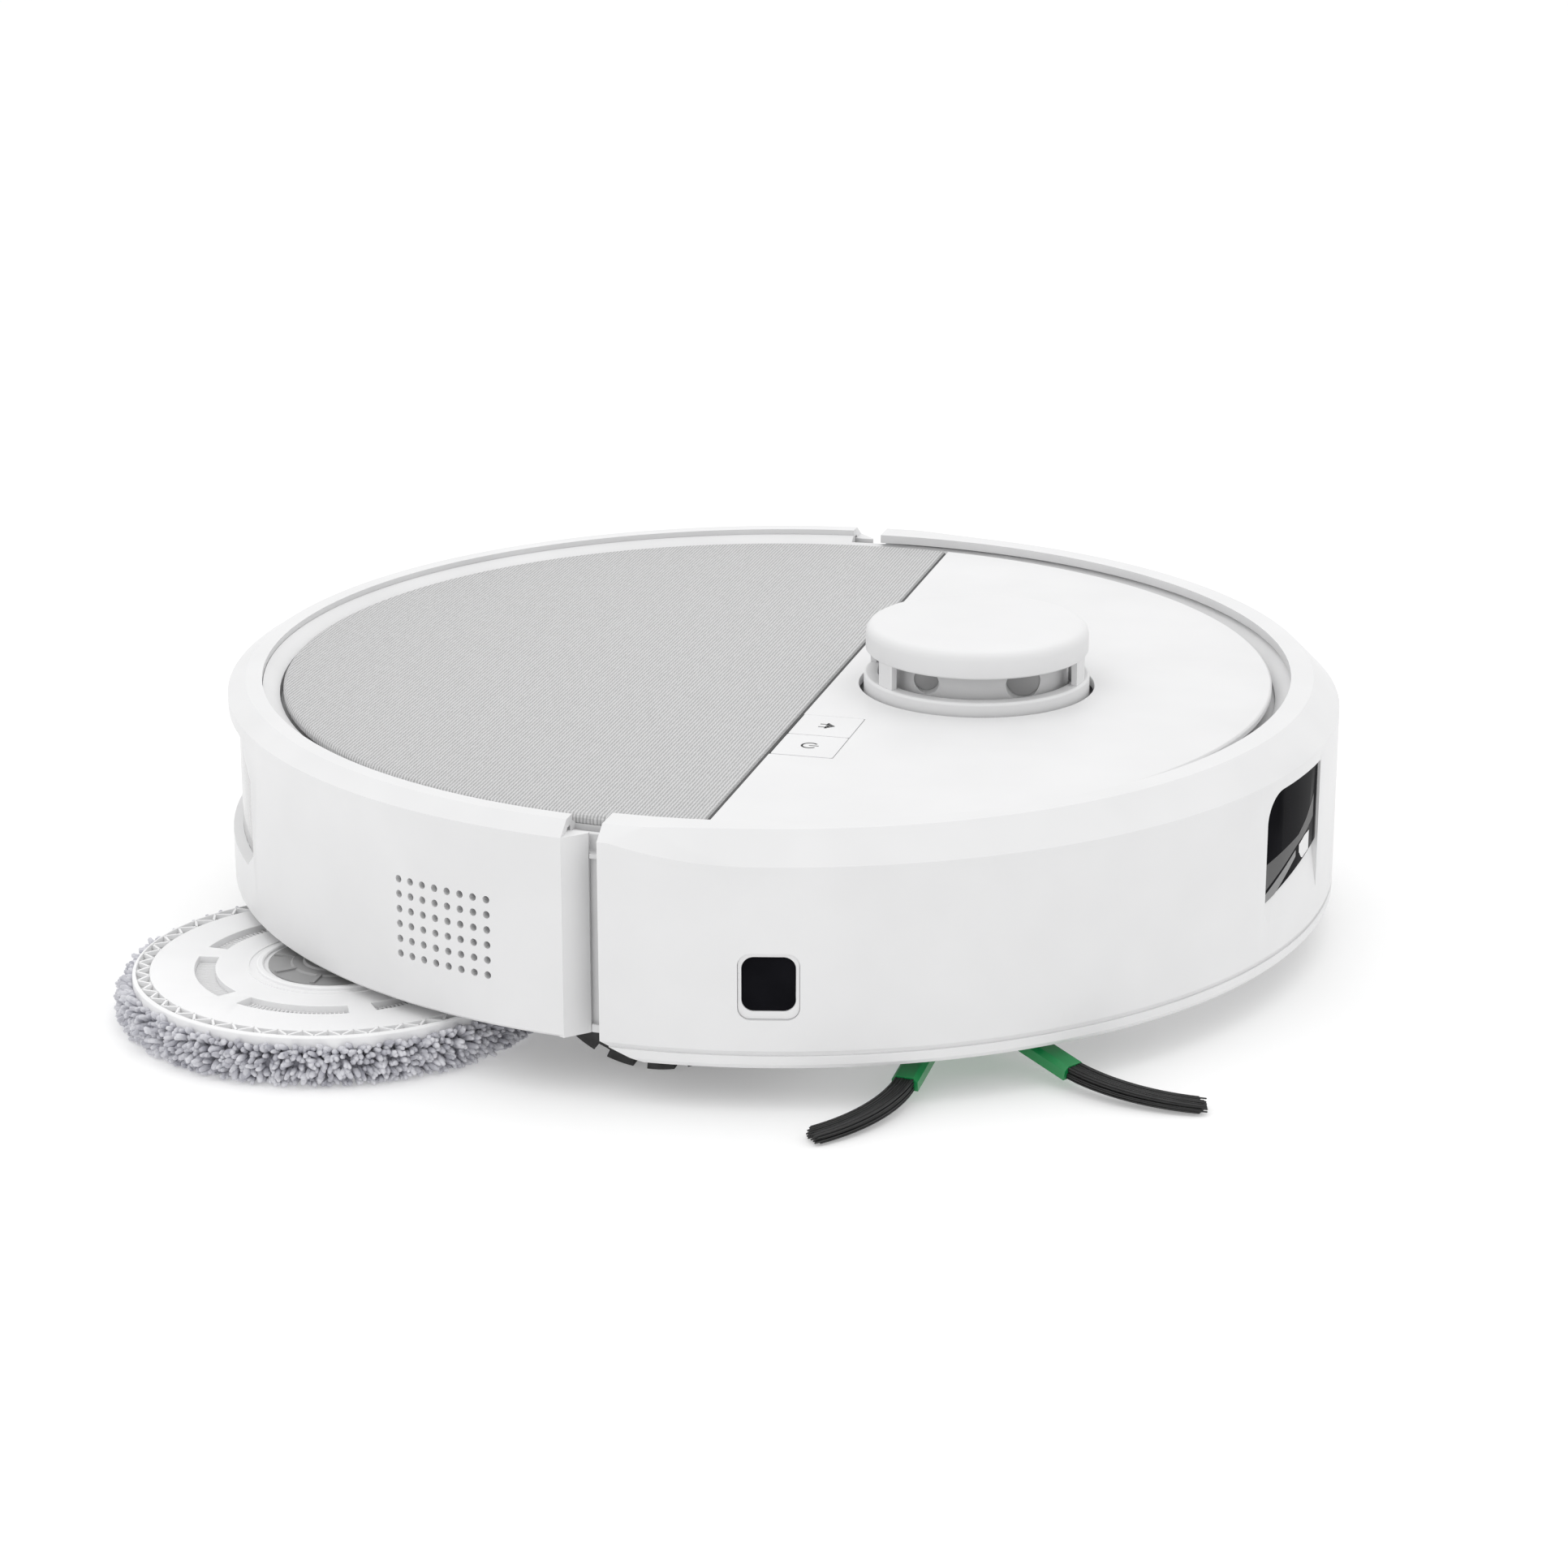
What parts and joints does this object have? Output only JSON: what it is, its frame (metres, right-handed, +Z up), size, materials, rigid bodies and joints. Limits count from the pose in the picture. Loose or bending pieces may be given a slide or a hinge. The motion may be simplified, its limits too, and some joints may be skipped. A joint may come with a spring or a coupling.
{
  "type": "robot vacuum cleaner",
  "caption": "Round robot vacuum cleaner and mop with a sliding front bumper, hinged grey lid, laser turret, side brush and spinning mop pads, one swung out past the side.",
  "frame": {"origin": "on the floor, on the axis of the round body, at the bottom of the rubber wiper behind the main brush", "axes": "+X forward towards the bumper, +Y to the left, +Z up"},
  "size_m": [0.342, 0.359, 0.0956],
  "materials": {
    "shell_white": "semi-gloss",
    "panel_white": "satin",
    "base_white": "matt",
    "lid_grey": "fine woven texture",
    "black_gloss": "gloss",
    "drum_grey": "satin",
    "dark_plastic": "matt",
    "port_grey": "tinted",
    "lens": "coated",
    "steel": "brushed",
    "contact_metal": "plated",
    "tyre": "rubber",
    "rubber": "matt",
    "green_plastic": "satin",
    "bristle": "nylon",
    "mop_plate": "satin",
    "mop_pile": "chenille pile",
    "board_green": "circuit board",
    "tank_clear": "translucent"
  },
  "bodies": {
    "body": {"chassis_base": "base_white", "rear_shell": "shell_white", "side_frames": "base_white", "top_deck": "base_white", "deck_rim": "shell_white", "lid_hinge_pins": "steel", "front_panel": "panel_white", "bumper_switches": "dark_plastic", "rear_port_window": "port_grey", "charging_contacts": "contact_metal", "turret_base": "panel_white", "turret_cap": "panel_white", "lidar_spindle": "steel", "brush_housing": "dark_plastic", "brush_guard": "dark_plastic", "suction_lip": "rubber", "side_brush_motor": "dark_plastic", "mop_drive_left": "dark_plastic", "dust_bin": "tank_clear", "water_tank": "tank_clear", "battery_pack": "dark_plastic", "fan_unit": "dark_plastic", "main_board": "board_green", "cliff_sensors": "black_gloss", "chassis_screws": "steel"},
    "lid": {"rear_lid": "lid_grey"},
    "home_button": {"home_button": "panel_white"},
    "power_button": {"power_button": "panel_white"},
    "bumper": {"bumper_shell": "shell_white", "bumper_skirt": "shell_white", "front_window_right": "black_gloss", "front_window_left": "black_gloss", "side_sensor_bezel": "shell_white", "side_sensor_window": "black_gloss"},
    "lidar": {"lidar_drum": "drum_grey", "lidar_lenses": "lens"},
    "drive_arm_right": {"drive_arm_right": "dark_plastic"},
    "drive_wheel_right": {"wheel_hub_right": "dark_plastic", "tyre_right": "tyre"},
    "drive_arm_left": {"drive_arm_left": "dark_plastic"},
    "drive_wheel_left": {"wheel_hub_left": "dark_plastic", "tyre_left": "tyre"},
    "caster_fork": {"caster_fork": "base_white", "caster_axle": "steel"},
    "caster_wheel": {"caster_wheel": "rubber"},
    "main_brush": {"brush_core": "dark_plastic", "brush_blades": "green_plastic"},
    "side_brush": {"side_brush_arms": "green_plastic", "side_brush_bristles": "bristle", "side_brush_screw": "steel"},
    "mop_arm": {"mop_swing_arm": "dark_plastic"},
    "mop_right": {"mop_spindle_right": "steel", "mop_plate_right": "mop_plate", "mop_pad_right": "mop_pile"},
    "mop_left": {"mop_spindle_left": "steel", "mop_plate_left": "mop_plate", "mop_pad_left": "mop_pile"}
  },
  "joints": [
    {"name": "lid_hinge", "type": "hinge", "parent": "body", "child": "lid", "pos_m": [0.0142, 0, 0.0734], "axis": [0, 1, 0], "range_deg": [0, 75]},
    {"name": "home_press", "type": "slide", "parent": "body", "child": "home_button", "axis": [0, 0, -1], "range_m": [0, 0.0008], "stiffness_N_per_m": 900},
    {"name": "power_press", "type": "slide", "parent": "body", "child": "power_button", "axis": [0, 0, -1], "range_m": [0, 0.0008], "stiffness_N_per_m": 900},
    {"name": "bumper_slide", "type": "slide", "parent": "body", "child": "bumper", "axis": [-1, 0, 0], "range_m": [0, 0.004], "stiffness_N_per_m": 600, "springref_m": -0.001},
    {"name": "lidar_spin", "type": "hinge", "parent": "body", "child": "lidar", "pos_m": [0.061, 0, 0.08], "axis": [0, 0, 1], "continuous": true},
    {"name": "drive_arm_right_drop", "type": "hinge", "parent": "body", "child": "drive_arm_right", "pos_m": [-0.036, -0.124, 0.035], "axis": [0, 1, 0], "range_deg": [0, 14]},
    {"name": "drive_arm_left_drop", "type": "hinge", "parent": "body", "child": "drive_arm_left", "pos_m": [-0.036, 0.124, 0.035], "axis": [0, 1, 0], "range_deg": [0, 14]},
    {"name": "drive_wheel_right_spin", "type": "hinge", "parent": "drive_arm_right", "child": "drive_wheel_right", "pos_m": [0, -0.1375, 0.035], "axis": [0, 1, 0], "continuous": true},
    {"name": "drive_wheel_left_spin", "type": "hinge", "parent": "drive_arm_left", "child": "drive_wheel_left", "pos_m": [0, 0.1375, 0.035], "axis": [0, 1, 0], "continuous": true},
    {"name": "caster_swivel", "type": "hinge", "parent": "body", "child": "caster_fork", "pos_m": [0.12, 0, 0.02], "axis": [0, 0, 1], "continuous": true},
    {"name": "caster_spin", "type": "hinge", "parent": "caster_fork", "child": "caster_wheel", "pos_m": [0.115, 0, 0.0125], "axis": [0, 1, 0], "continuous": true},
    {"name": "main_brush_spin", "type": "hinge", "parent": "body", "child": "main_brush", "pos_m": [0.026, 0, 0.0195], "axis": [0, 1, 0], "continuous": true},
    {"name": "side_brush_spin", "type": "hinge", "parent": "body", "child": "side_brush", "pos_m": [0.0855, -0.117, 0.012], "axis": [0, 0, 1], "continuous": true},
    {"name": "mop_arm_swing", "type": "hinge", "parent": "body", "child": "mop_arm", "pos_m": [-0.0494, -0.1134, 0.026], "axis": [0, 0, 1], "range_deg": [-68, 0]},
    {"name": "mop_right_spin", "type": "hinge", "parent": "mop_arm", "child": "mop_right", "pos_m": [-0.103, -0.123, 0.02], "axis": [0, 0, 1], "continuous": true},
    {"name": "mop_left_spin", "type": "hinge", "parent": "body", "child": "mop_left", "pos_m": [-0.078, 0.067, 0.02], "axis": [0, 0, 1], "continuous": true}
  ],
  "couplings": [
    {"joint": "mop_left_spin", "follows": "mop_right_spin", "ratio": -1}
  ]
}
